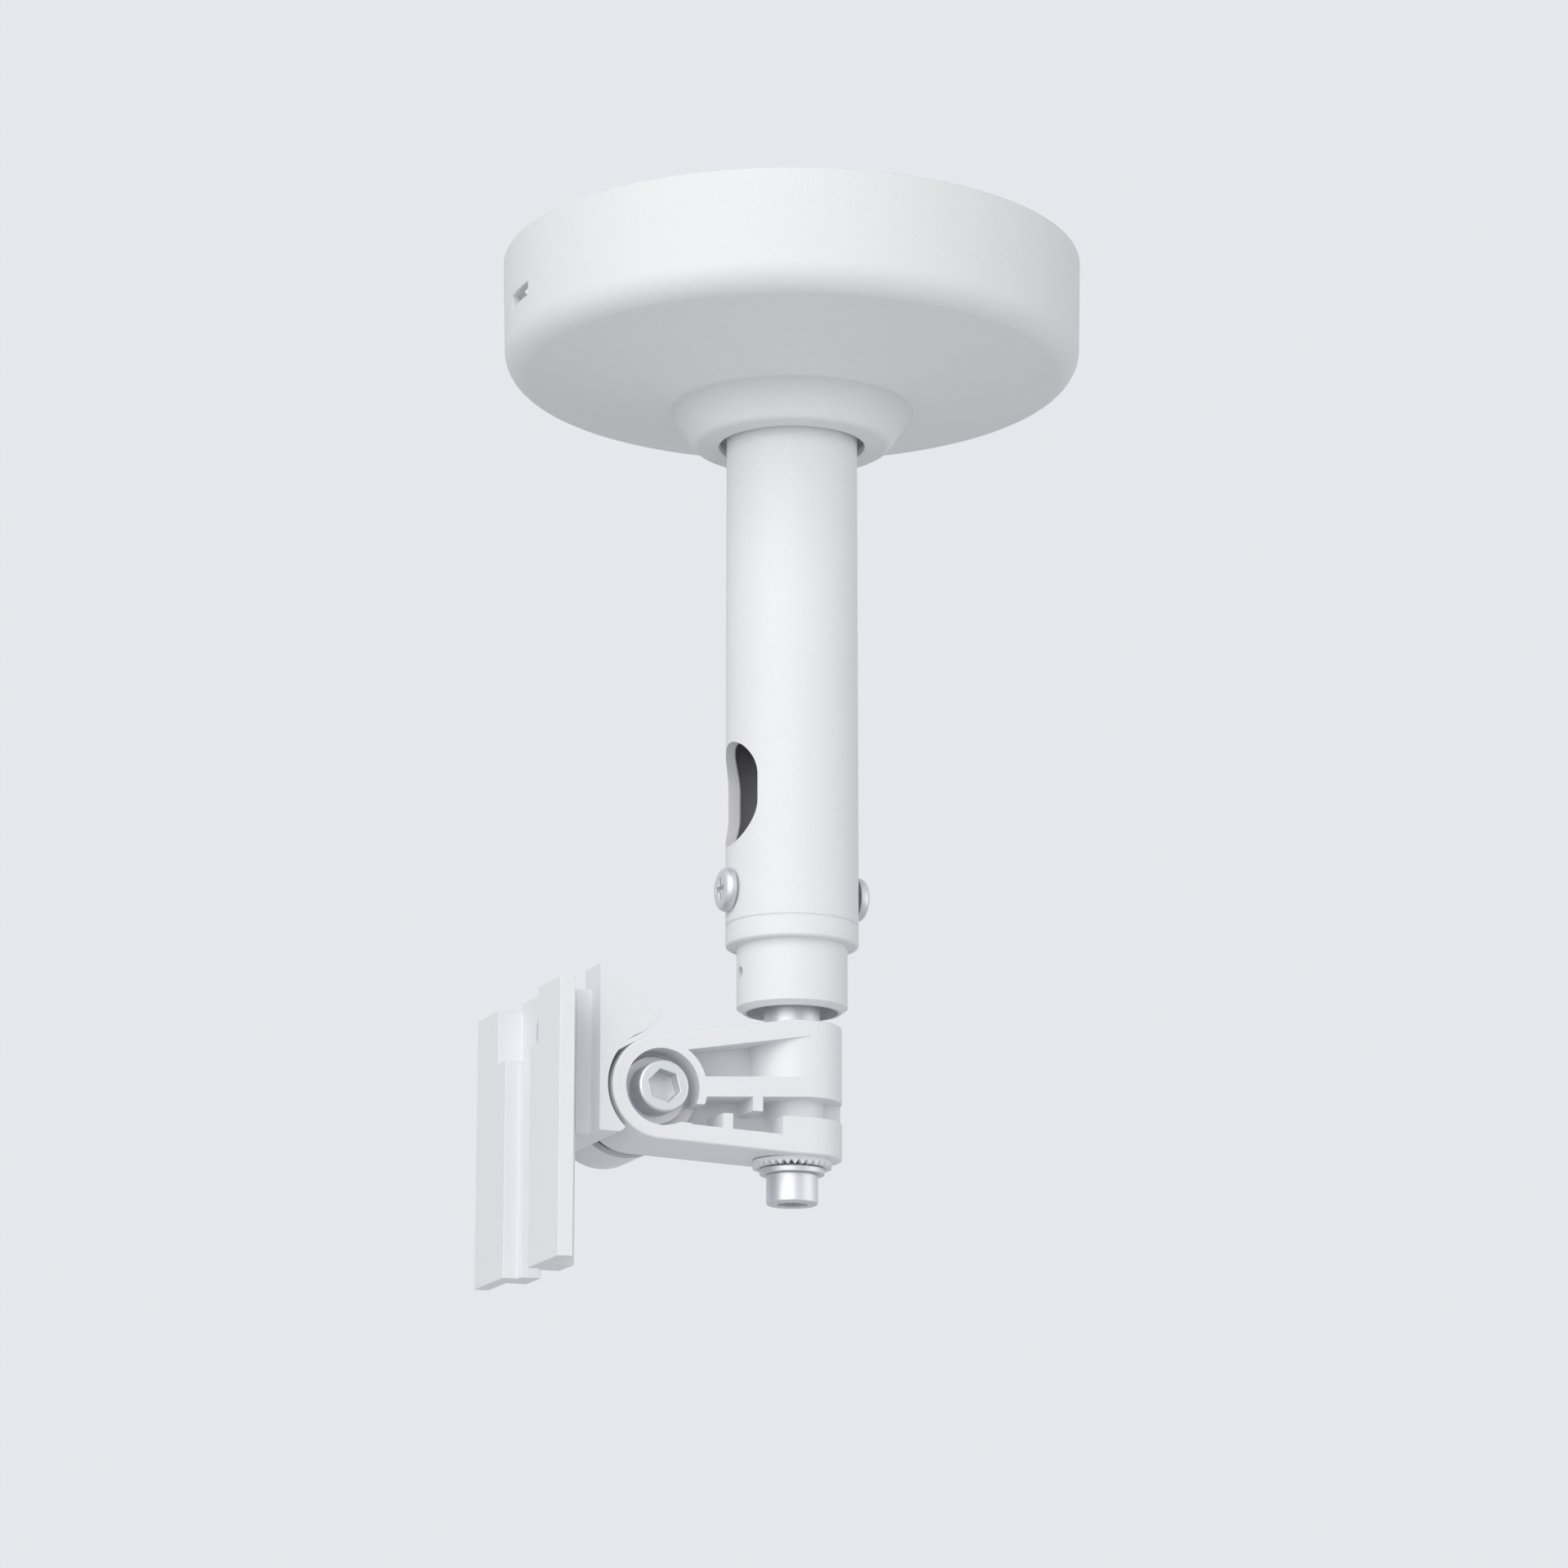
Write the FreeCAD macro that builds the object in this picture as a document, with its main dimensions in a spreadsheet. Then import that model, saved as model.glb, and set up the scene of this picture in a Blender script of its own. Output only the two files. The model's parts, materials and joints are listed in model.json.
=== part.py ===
import FreeCAD
import Part
import Sketcher
import math
import os
import re

# Speaker ceiling mount: a canopy, a pendant tube, a swivelling arm and a tilting speaker plate.
# Millimetres. The origin is the centre of the ceiling face, +Z is up and the arm points along -X.

Vector = FreeCAD.Vector

# Driving dimensions. A level is a distance below the ceiling.
sizes = {
    # Fits shared by several pieces
    "slip_clearance": 0.1,
    "running_clearance": 0.05,
    "thread_clearance": 0.03,
    "hole_clearance": 0.2,
    "face_clearance": 0.1,
    # Ceiling flange and its socket for the tube
    "flange_radius": 55.0,
    "flange_thickness": 4.0,
    "cable_hole_radius": 11.0,
    "fixing_circle_radius": 42.0,
    "fixing_hole_radius": 3.25,
    "fixing_count": 4,
    "socket_wall": 5.05,
    "socket_level": 24.0,
    "lock_screw_level": 14.0,
    "lock_screw_radius": 2.5,
    "lock_screw_count": 3,
    # Canopy
    "canopy_radius": 75.0,
    "canopy_draft": 0.7,
    "canopy_level": 31.3,
    "canopy_wall": 2.2,
    "canopy_edge_round": 7.7,
    "collar_root_radius": 37.0,
    "collar_root_round": 10.0,
    "collar_radius": 25.0,
    "collar_level": 49.0,
    "collar_edge_round": 2.4,
    "collar_gap": 1.95,
    "latch_slot_width": 12.7,
    "latch_slot_height": 3.4,
    "latch_slot_level": 16.7,
    # Leaf springs that hold the canopy
    "clip_width": 10.0,
    "clip_thickness": 1.2,
    "clip_inner_end": 40.0,
    "clip_nose_depth": 1.63,
    "clip_level": 22.0,
    "clip_nose_height": 2.6,
    "rivet_place": 47.0,
    "rivet_radius": 2.0,
    "rivet_head_radius": 3.6,
    "rivet_head_height": 1.4,
    # Pendant tube
    "tube_radius": 16.85,
    "tube_wall": 2.5,
    "seam_chamfer": 0.4,
    "tube_top_level": 5.0,
    "tube_end_level": 175.6,
    "cable_slot_width": 20.6,
    "cable_slot_height": 26.7,
    "cable_slot_rise": 33.2,
    # End plug and the screws that hold it
    "spigot_length": 18.1,
    "plug_collar_height": 5.4,
    "plug_collar_round": 0.8,
    "plug_step": 2.85,
    "plug_nose_length": 16.7,
    "plug_lip_run": 1.7,
    "plug_lip_rise": 1.2,
    "plug_wall": 2.4,
    "cup_depth": 5.0,
    "plug_screw_rise": 8.4,
    "plug_screw_radius": 3.0,
    "plug_screw_tip": 8.0,
    "pan_head_radius": 5.6,
    "pan_head_height": 2.7,
    "pan_head_round": 1.9,
    "cross_width": 1.3,
    "cross_span": 5.4,
    "cross_depth": 1.5,
    "pin_screw_drop": 7.1,
    "pin_screw_radius": 1.5,
    "pin_screw_recess": 1.6,
    # Swivel pin and bolt
    "pin_radius": 7.0,
    "pin_top_drop": 0.9,
    "pin_length": 34.0,
    "thrust_washer_thickness": 1.5,
    "bolt_radius": 4.0,
    "bolt_head_radius": 6.5,
    "bolt_head_height": 7.5,
    "bolt_head_round": 0.7,
    "bolt_socket_across": 7.4,
    "bolt_socket_depth": 4.2,
    "swivel_bolt_length": 52.0,
    "swivel_washer_radius": 8.15,
    "washer_thickness": 1.5,
    # Swivel arm
    "arm_thickness": 25.0,
    "arm_web": 3.0,
    "arm_gap": 3.8,
    "arm_height": 33.8,
    "arm_edge_round": 0.6,
    "upper_flange": 4.7,
    "lower_flange": 4.4,
    "mid_rib": 5.0,
    "mid_rib_drop": 16.9,
    "hub_foot_height": 9.2,
    "hub_foot_length": 7.3,
    "hub_flat": 4.0,
    "hub_fill_radius": 12.3,
    "hub_barrel_radius": 7.9,
    "tab_thickness": 2.6,
    "upper_tab_place": 13.9,
    "upper_tab_height": 3.6,
    "lower_tab_place": 21.8,
    "lower_tab_height": 3.0,
    "boss_radius": 13.0,
    "boss_ring_radius": 11.6,
    "counterbore_radius": 9.6,
    "counterbore_depth": 8.0,
    "boss_gap_drop": 3.8,
    "tooth_ring_radius": 9.9,
    "tooth_ring_bore": 6.4,
    "tooth_ring_height": 2.0,
    "tooth_height": 1.2,
    "tooth_count": 32,
    # Tilt joint
    "tilt_reach": 38.9,
    "tilt_drop": 19.3,
    "tilt_bolt_length": 39.5,
    "tilt_washer_radius": 8.6,
    "tilt_washer_thickness": 1.6,
    "friction_gap": 3.4,
    "friction_disc_radius": 12.0,
    "knuckle_radius": 13.6,
    "knuckle_length": 17.9,
    "nut_across": 13.0,
    "nut_thickness": 6.5,
    # Tilt bracket
    "seat_clearance": 1.3,
    "seat_wall": 2.1,
    "seat_roof": 1.5,
    "bracket_end_drop": 11.8,
    "bracket_foot_run": 10.7,
    "bracket_foot_round": 1.6,
    "cheek_thickness": 11.6,
    "horn_rise": 29.8,
    "horn_root_run": 7.1,
    "horn_root_rise": 11.3,
    "horn_tip_run": 0.2,
    "horn_tip_rise": 18.2,
    "horn_tip_round": 1.6,
    "neck_skin": 0.4,
    # Speaker plate
    "neck_length": 3.9,
    "plate_middle": 12.4,
    "plate_width": 65.2,
    "plate_rise": 24.2,
    "plate_height": 68.5,
    "rail_thickness": 3.8,
    "rail_width": 23.0,
    "channel_depth": 6.3,
    "channel_web": 2.8,
    "foot_gap_half": 7.2,
    "foot_reach_half": 18.2,
    "foot_length": 7.1,
    "notch_height": 13.7,
    "notch_half": 15.9,
    "tongue_height": 2.0,
    "speaker_hole_radius": 3.2,
    "speaker_hole_upper_drop": 17.2,
    "speaker_hole_lower_drop": 31.2,
    "plate_screw_radius": 2.5,
    "plate_screw_head_radius": 4.6,
    "plate_screw_length": 8.0,
    "plate_screw_upper_rise": 16.8,
    "plate_screw_lower_drop": 3.2,
}

# Sizes and places that follow from the driving dimensions
derived = {
    "socket_radius": "tube_radius + slip_clearance + socket_wall",
    "collar_bore_radius": "tube_radius + collar_gap",
    "clip_nose_reach": "canopy_radius - canopy_draft * latch_slot_level / canopy_level - canopy_wall"
                       " - 2 * hole_clearance",
    "clip_outer_face": "clip_nose_reach - clip_nose_depth",
    "plug_radius": "tube_radius - plug_step",
    "cup_radius": "plug_radius - plug_wall",
    "plug_top_level": "tube_end_level - spigot_length",
    "plug_screw_level": "tube_end_level - plug_screw_rise",
    "cable_slot_level": "tube_end_level - cable_slot_rise",
    "plug_collar_level": "tube_end_level + plug_collar_height",
    "plug_end_level": "plug_collar_level + plug_nose_length",
    "pin_screw_level": "plug_collar_level + pin_screw_drop",
    "pin_top_level": "tube_end_level + pin_top_drop",
    "pin_end_level": "pin_top_level + pin_length",
    "arm_top_level": "plug_end_level + arm_gap",
    "arm_end_level": "arm_top_level + arm_height",
    "mid_rib_hub_level": "arm_top_level + mid_rib_drop",
    "tilt_level": "arm_top_level + tilt_drop",
    "boss_gap_level": "tilt_level + boss_gap_drop",
    "arm_span": "tilt_reach - hub_flat",
    "arm_top_angle": "atan(tilt_drop / arm_span) - asin(boss_radius / sqrt(arm_span ^ 2 + tilt_drop ^ 2))",
    "seat_radius": "boss_radius + seat_clearance",
    "bracket_back": "tilt_reach + seat_radius + seat_wall",
    "bracket_top_level": "tilt_level - seat_radius - seat_roof",
    "bracket_end_level": "tilt_level + bracket_end_drop",
    "bracket_foot": "tilt_reach + bracket_foot_run",
    "horn_level": "tilt_level - horn_rise",
    "horn_root_reach": "tilt_reach + horn_root_run",
    "horn_root_level": "tilt_level - horn_root_rise",
    "horn_tip_reach": "tilt_reach - horn_tip_run",
    "horn_tip_level": "tilt_level - horn_tip_rise",
    "neck_root": "tilt_reach + seat_radius + neck_skin",
    "web_back": "bracket_back + neck_length",
    "web_face": "web_back + channel_web",
    "plate_reach": "web_face + channel_depth",
    "plate_top_level": "tilt_level - plate_rise",
    "plate_end_level": "plate_top_level + plate_height",
    "web_end_level": "plate_end_level - foot_length",
    "speaker_hole_upper_level": "tilt_level + speaker_hole_upper_drop",
    "speaker_hole_lower_level": "tilt_level + speaker_hole_lower_drop",
    "plate_screw_upper_level": "tilt_level - plate_screw_upper_rise",
    "plate_screw_lower_level": "tilt_level + plate_screw_lower_drop",
}
spigot_radius = "(tube_radius - tube_wall - slip_clearance)"
cup_level = "(plug_end_level - cup_depth)"
cone_run = "((collar_root_radius - collar_radius) / (collar_level - canopy_level))"
cone_wall = "(canopy_wall * sqrt(1 + %s ^ 2))" % cone_run
thrust_seat_level = "(pin_end_level + thrust_washer_thickness)"
tooth_tip_level = "(arm_end_level + tooth_ring_height)"
head_seat_level = "(%s + washer_thickness)" % tooth_tip_level
half_arm = "(arm_thickness / 2)"
arm_drop = "(arm_end_level - tilt_level)"
arm_slant = "sqrt(arm_span ^ 2 + %s ^ 2)" % arm_drop
arm_bottom_angle = "(atan(%s / arm_span) - asin(boss_radius / %s))" % (arm_drop, arm_slant)
arm_top_tangent = "(boss_radius / cos(arm_top_angle))"
arm_bottom_tangent = "(boss_radius / cos(%s))" % arm_bottom_angle
pocket_depth = "((arm_thickness - arm_web) / 2)"
rib_slope = "((tilt_level - mid_rib_hub_level) / tilt_reach)"
arm_rib_end_level = "(mid_rib_hub_level + mid_rib / 2)"
foot_top_level = "(arm_end_level - hub_foot_height)"
tilt_head_seat = "(%s - counterbore_depth + tilt_washer_thickness)" % half_arm
knuckle_face = "(%s + friction_gap)" % half_arm
knuckle_end = "(%s + knuckle_length)" % knuckle_face
channel_half = "(plate_width / 2 - rail_width)"

doc = FreeCAD.newDocument("speaker_ceiling_mount")
sheet = doc.addObject("Spreadsheet::Sheet", "dims")
for row, (alias, size) in enumerate(sizes.items(), start=1):
    sheet.set("A%d" % row, alias)
    sheet.set("B%d" % row, str(size))
    sheet.setAlias("B%d" % row, alias)
doc.recompute()

nodes = []
# A second sheet with one cell works out the number that an expression stands for.
worked = doc.addObject("Spreadsheet::Sheet", "worked")


def value(expression):
    worked.set("A1", "=" + bound(expression))
    worked.recompute()
    return float(worked.get("A1"))


def bound(expression):
    return re.sub(r"[a-z_]+", lambda word: qualified(word.group(0)), expression)


def qualified(word):
    if word in derived:
        return "(%s)" % bound(derived[word])
    return "dims." + word if word in sizes else word


def new_body(label):
    body = doc.addObject("PartDesign::Body", label)
    body.Label = label
    return body


def keep(thing):
    nodes.append(thing)
    return thing


def new_sketch(body, name, role, offset="0"):
    plane = [feature for feature in body.Origin.OriginFeatures if feature.Role == role][0]
    sketch = body.newObject("Sketcher::SketchObject", name)
    sketch.AttachmentSupport = [(plane, "")]
    sketch.MapMode = "FlatFace"
    sketch.setExpression("AttachmentOffset.Base.z", bound(offset))
    return sketch


def fix_point(sketch, element, end, place):
    for direction, axis, expression in (("DistanceX", -2, place[0]), ("DistanceY", -1, place[1])):
        if expression == "0":
            sketch.addConstraint(Sketcher.Constraint("PointOnObject", element, end, axis))
            continue
        rule = Sketcher.Constraint(direction, -1, 1, element, end, value(expression))
        number = sketch.addConstraint(rule)
        sketch.setExpression("Constraints[%d]" % number, bound(expression))


def fix_radius(sketch, element, expression):
    number = sketch.addConstraint(Sketcher.Constraint("Radius", element, value(expression)))
    sketch.setExpression("Constraints[%d]" % number, bound(expression))


# A closed outline. A corner is (x, y), or (x, y, radius) where it is rounded.
def add_outline(sketch, corners):
    points = [Vector(value(corner[0]), value(corner[1]), 0) for corner in corners]
    count = len(points)
    reached = []
    left = []
    arcs = {}
    for number, corner in enumerate(corners):
        point = points[number]
        if len(corner) == 2:
            reached.append(point)
            left.append(point)
            continue
        before = (points[number - 1] - point).normalize()
        after = (points[(number + 1) % count] - point).normalize()
        half_angle = before.getAngle(after) / 2
        radius = value(corner[2])
        reached.append(point + before * (radius / math.tan(half_angle)))
        left.append(point + after * (radius / math.tan(half_angle)))
        inward = (before + after).normalize()
        arcs[number] = point + inward * (radius / math.sin(half_angle) - radius)
    lines = []
    for number in range(count):
        segment = Part.LineSegment(left[number], reached[(number + 1) % count])
        lines.append(sketch.addGeometry(segment, False))
    for number, corner in enumerate(corners):
        arriving = lines[number - 1]
        leaving = lines[number]
        if number not in arcs:
            sketch.addConstraint(Sketcher.Constraint("Coincident", arriving, 2, leaving, 1))
            fix_point(sketch, leaving, 1, corner)
            continue
        arc = sketch.addGeometry(Part.Arc(reached[number], arcs[number], left[number]), False)
        begins = sketch.getPoint(arc, 1).distanceToPoint(reached[number]) < 1e-6
        first = 1 if begins else 2
        sketch.addConstraint(Sketcher.Constraint("Tangent", arriving, 2, arc, first))
        sketch.addConstraint(Sketcher.Constraint("Tangent", arc, 3 - first, leaving, 1))
        fix_radius(sketch, arc, corner[2])
        tip = sketch.addGeometry(Part.Point(points[number]), True)
        fix_point(sketch, tip, 1, corner)
        sketch.addConstraint(Sketcher.Constraint("PointOnObject", tip, 1, arriving))
        sketch.addConstraint(Sketcher.Constraint("PointOnObject", tip, 1, leaving))


def add_circle(sketch, across, up, radius):
    centre = Vector(value(across), value(up), 0)
    ring = sketch.addGeometry(Part.Circle(centre, Vector(0, 0, 1), value(radius)), False)
    fix_point(sketch, ring, 3, (across, up))
    fix_radius(sketch, ring, radius)


def add_hexagon(sketch, across_flats):
    corners = []
    for step in range(6):
        reach = "(%s) / 2 / cos(30)" % across_flats
        corners.append(("%s * cos(%d)" % (reach, 60 * step + 15), "%s * sin(%d)" % (reach, 60 * step + 15)))
    add_outline(sketch, corners)


def add_box(sketch, low_across, high_across, low_up, high_up):
    add_outline(sketch, [(low_across, low_up), (high_across, low_up), (high_across, high_up),
                         (low_across, high_up)])


def extrude(body, kind, sketch, length, backwards=False, both_ways=False):
    feature = body.newObject("PartDesign::" + kind, sketch.Name + "_" + kind.lower())
    feature.Profile = sketch
    feature.setExpression("Length", bound(length))
    feature.Reversed = backwards
    feature.Midplane = both_ways
    doc.recompute()
    return feature


def pad(body, sketch, length, **how):
    before = 0 if body.Shape.isNull() else body.Shape.Volume
    feature = extrude(body, "Pad", sketch, length, **how)
    if not body.Shape.Volume > before + 1e-6:
        raise RuntimeError("%s adds nothing" % feature.Name)
    return feature


# A pocket that removes nothing points the wrong way, so the volumes are compared.
def pocket(body, sketch, length, **how):
    before = body.Shape.Volume
    feature = extrude(body, "Pocket", sketch, length, **how)
    if not 1e-6 < body.Shape.Volume < before - 1e-6:
        raise RuntimeError("%s removes nothing" % feature.Name)
    return feature


def turn(body, corners, name="profile"):
    sketch = new_sketch(body, body.Name + "_" + name, "XZ_Plane")
    add_outline(sketch, corners)
    feature = body.newObject("PartDesign::Revolution", sketch.Name + "_turned")
    feature.Profile = sketch
    feature.ReferenceAxis = (sketch, ["V_Axis"])
    feature.Angle = 360
    doc.recompute()
    return feature


def repeat_round(body, feature, sketch, axis, count):
    pattern = body.newObject("PartDesign::PolarPattern", feature.Name + "_round")
    pattern.Originals = [feature]
    pattern.Axis = (sketch, [axis])
    pattern.Angle = 360
    pattern.setExpression("Occurrences", bound(count))
    body.Tip = pattern
    doc.recompute()
    return pattern


def place(thing, x="0", y="0", z="0", axis=Vector(0, 0, 1), angle=0):
    thing.Placement = FreeCAD.Placement(Vector(0, 0, 0), FreeCAD.Rotation(axis, angle))
    for letter, expression in (("x", x), ("y", y), ("z", z)):
        thing.setExpression("Placement.Base." + letter, bound(expression))
    doc.recompute()
    return thing


def group(label, members):
    compound = doc.addObject("Part::Compound", label)
    compound.Label = label
    compound.Links = members
    doc.recompute()
    return keep(compound)


def washer(label, hole, radius, low, high):
    body = new_body(label)
    turn(body, [(hole, low), (radius, low), (radius, high), (hole, high)])
    return keep(body)


# Ceiling flange: a round plate with a socket for the tube
def make_ceiling_flange():
    body = keep(new_body("ceiling_flange"))
    socket_bore = "(tube_radius + slip_clearance)"
    turn(body, [("cable_hole_radius", "0"), ("flange_radius", "0"), ("flange_radius", "-flange_thickness"),
                ("socket_radius", "-flange_thickness"), ("socket_radius", "-socket_level"),
                (socket_bore, "-socket_level"), (socket_bore, "-tube_top_level"),
                ("cable_hole_radius", "-tube_top_level")])
    fixing = new_sketch(body, "fixing_hole", "XY_Plane")
    add_circle(fixing, "fixing_circle_radius * cos(45)", "fixing_circle_radius * sin(45)",
               "fixing_hole_radius")
    hole = pocket(body, fixing, "flange_thickness")
    repeat_round(body, hole, fixing, "N_Axis", "fixing_count")
    lock = new_sketch(body, "tube_lock_hole", "XZ_Plane")
    add_circle(lock, "0", "-lock_screw_level", "lock_screw_radius + thread_clearance")
    lock_hole = pocket(body, lock, "socket_radius", backwards=True)
    repeat_round(body, lock_hole, lock, "V_Axis", "lock_screw_count")


# Grub screws from the socket's outside to the tube, with a hexagon key socket each
def make_tube_lock_screws():
    members = []
    for number in range(int(value("lock_screw_count"))):
        body = new_body("tube_lock_screw_%d" % number)
        turn(body, [("0", "tube_radius"), ("lock_screw_radius", "tube_radius"),
                    ("lock_screw_radius", "socket_radius"), ("0", "socket_radius")])
        socket = new_sketch(body, "tube_lock_key_%d" % number, "XY_Plane", "socket_radius")
        add_hexagon(socket, "lock_screw_radius")
        pocket(body, socket, "lock_screw_radius")
        turned_down = FreeCAD.Rotation(Vector(1, 0, 0), 90)
        turned_round = FreeCAD.Rotation(Vector(0, 0, 1), 360.0 * number / value("lock_screw_count"))
        rotation = turned_round.multiply(turned_down)
        members.append(place(body, z="-lock_screw_level", axis=rotation.Axis,
                             angle=math.degrees(rotation.Angle)))
    group("tube_lock_screws", members)


# Canopy: one thin moulding with a rounded edge and a conical collar
def make_canopy():
    body = keep(new_body("canopy"))
    inner_foot = "collar_radius + canopy_wall * %s - %s" % (cone_run, cone_wall)
    inner_root = "collar_root_radius + canopy_wall * %s - %s" % (cone_run, cone_wall)
    turn(body, [("canopy_radius", "0"),
                ("canopy_radius - canopy_draft", "-canopy_level", "canopy_edge_round"),
                ("collar_root_radius", "-canopy_level", "collar_root_round"),
                ("collar_radius", "-collar_level", "collar_edge_round"),
                ("collar_bore_radius", "-collar_level"),
                ("collar_bore_radius", "-collar_level + canopy_wall"),
                (inner_foot, "-collar_level + canopy_wall"),
                (inner_root, "-canopy_level + canopy_wall", "collar_root_round + canopy_wall"),
                ("canopy_radius - canopy_draft - canopy_wall", "-canopy_level + canopy_wall",
                 "canopy_edge_round - canopy_wall"),
                ("canopy_radius - canopy_wall", "0")])
    slot = new_sketch(body, "latch_slot", "YZ_Plane")
    add_box(slot, "-latch_slot_width / 2", "latch_slot_width / 2",
            "-latch_slot_level - latch_slot_height / 2", "-latch_slot_level + latch_slot_height / 2")
    pocket(body, slot, "2 * canopy_radius + canopy_wall", both_ways=True)


# Leaf springs under the flange, with a nose behind each of the canopy's slots
def make_canopy_clips():
    body = new_body("canopy_clip")
    leaf = new_sketch(body, "clip_leaf", "XZ_Plane")
    low = "-flange_thickness - clip_thickness"
    add_outline(leaf, [("clip_inner_end", "-flange_thickness"), ("clip_outer_face", "-flange_thickness"),
                       ("clip_outer_face", "-latch_slot_level + clip_nose_height"),
                       ("clip_nose_reach", "-latch_slot_level + clip_nose_height / 4"),
                       ("clip_nose_reach", "-latch_slot_level - clip_nose_height / 4"),
                       ("clip_outer_face", "-latch_slot_level - clip_nose_height"),
                       ("clip_outer_face", "-clip_level"),
                       ("clip_outer_face - clip_thickness", "-clip_level"),
                       ("clip_outer_face - clip_thickness", low), ("clip_inner_end", low)])
    pad(body, leaf, "clip_width", both_ways=True)
    hole = new_sketch(body, "clip_hole", "XY_Plane", low)
    add_circle(hole, "rivet_place", "0", "rivet_radius + thread_clearance")
    pocket(body, hole, "clip_thickness", backwards=True)
    group("canopy_clips", [body, mirrored(body, "canopy_clip_far")])


def mirrored(body, name):
    mirror = doc.addObject("Part::Mirroring", name)
    mirror.Source = body
    mirror.Normal = Vector(1, 0, 0)
    doc.recompute()
    return mirror


# Rivets that hold the leaf springs to the flange
def make_clip_rivets():
    body = new_body("clip_rivet")
    seat = "-flange_thickness - clip_thickness"
    turn(body, [("0", "-flange_thickness"), ("rivet_radius", "-flange_thickness"), ("rivet_radius", seat),
                ("rivet_head_radius", seat),
                ("rivet_head_radius", "%s - rivet_head_height" % seat, "rivet_head_height * 0.8"),
                ("0", "%s - rivet_head_height" % seat)])
    place(body, x="rivet_place")
    group("clip_rivets", [body, mirrored(body, "clip_rivet_far")])


# Pendant tube with its cable slot on the arm's side
def make_pendant_tube():
    body = keep(new_body("pendant_tube"))
    inside = "tube_radius - tube_wall"
    turn(body, [(inside, "-tube_top_level"), ("tube_radius", "-tube_top_level"),
                ("tube_radius", "-tube_end_level + seam_chamfer"),
                ("tube_radius - seam_chamfer", "-tube_end_level"), (inside, "-tube_end_level")])
    slot = new_sketch(body, "cable_slot", "YZ_Plane")
    across = "cable_slot_width / 2"
    low = "-cable_slot_level - cable_slot_height / 2"
    high = "-cable_slot_level + cable_slot_height / 2"
    end_round = "cable_slot_width * 0.49"
    add_outline(slot, [("-" + across, low, end_round), (across, low, end_round),
                       (across, high, end_round), ("-" + across, high, end_round)])
    pocket(body, slot, "tube_radius + tube_wall")
    holes = new_sketch(body, "tube_screw_hole", "YZ_Plane")
    add_circle(holes, "0", "-plug_screw_level", "plug_screw_radius + hole_clearance")
    pocket(body, holes, "2 * tube_radius + tube_wall", both_ways=True)


# End plug: a spigot in the tube, a collar under it and a cupped nose
def make_tube_plug():
    body = keep(new_body("tube_plug"))
    pin_bore = "(pin_radius + thread_clearance)"
    turn(body, [("0", "-plug_top_level"), (spigot_radius, "-plug_top_level", "plug_collar_round"),
                (spigot_radius, "-tube_end_level"), ("tube_radius - seam_chamfer", "-tube_end_level"),
                ("tube_radius", "-tube_end_level - seam_chamfer"),
                ("tube_radius", "-plug_collar_level", "plug_collar_round"),
                ("plug_radius", "-plug_collar_level"), ("plug_radius", "-plug_end_level + plug_lip_rise"),
                ("plug_radius - plug_lip_run", "-plug_end_level"), ("cup_radius", "-plug_end_level"),
                ("cup_radius", "-" + cup_level), (pin_bore, "-" + cup_level), (pin_bore, "-pin_top_level"),
                ("0", "-pin_top_level")])
    holes = new_sketch(body, "plug_screw_hole", "YZ_Plane")
    add_circle(holes, "0", "-plug_screw_level", "plug_screw_radius + thread_clearance")
    pocket(body, holes, "2 * tube_radius", both_ways=True)
    lock = new_sketch(body, "pin_screw_hole", "YZ_Plane")
    add_circle(lock, "0", "-pin_screw_level", "pin_screw_radius + thread_clearance")
    pocket(body, lock, "plug_radius + plug_lip_run")


# Pan-head screws with a cross recess, one on each side of the tube
def make_plug_screws():
    body = new_body("plug_screw")
    head_end = "tube_radius + pan_head_height"
    turn(body, [("0", "plug_screw_tip"), ("plug_screw_radius", "plug_screw_tip"),
                ("plug_screw_radius", "tube_radius"), ("pan_head_radius", "tube_radius"),
                ("pan_head_radius", head_end, "pan_head_round"), ("0", head_end)])
    cross = new_sketch(body, "cross_recess", "XY_Plane", head_end)
    thin = "cross_width / 2"
    long = "cross_span / 2"
    add_outline(cross, [(thin, thin), (thin, long), ("-" + thin, long), ("-" + thin, thin), ("-" + long, thin),
                        ("-" + long, "-" + thin), ("-" + thin, "-" + thin), ("-" + thin, "-" + long),
                        (thin, "-" + long), (thin, "-" + thin), (long, "-" + thin), (long, thin)])
    pocket(body, cross, "cross_depth")
    place(body, z="-plug_screw_level", axis=Vector(0, 1, 0), angle=90)
    group("plug_screws", [body, mirrored(body, "plug_screw_far")])


# Grub screw that locks the pin in the plug
def make_pin_lock_screw():
    body = keep(new_body("pin_lock_screw"))
    outer = "plug_radius - pin_screw_recess"
    turn(body, [("0", "pin_radius"), ("pin_screw_radius", "pin_radius"), ("pin_screw_radius", outer),
                ("0", outer)])
    socket = new_sketch(body, "pin_screw_key", "XY_Plane", outer)
    add_hexagon(socket, "pin_screw_radius")
    pocket(body, socket, "pin_screw_radius")
    place(body, z="-pin_screw_level", axis=Vector(0, 1, 0), angle=-90)


# Swivel pin: a round pin threaded for the swivel bolt
def make_swivel_pin():
    body = keep(new_body("swivel_pin"))
    thread = "bolt_radius + thread_clearance"
    tip = "-%s + swivel_bolt_length + washer_thickness" % head_seat_level
    turn(body, [("0", "-pin_top_level"), ("pin_radius", "-pin_top_level"), ("pin_radius", "-pin_end_level"),
                (thread, "-pin_end_level"), (thread, tip), ("0", tip)])


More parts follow.
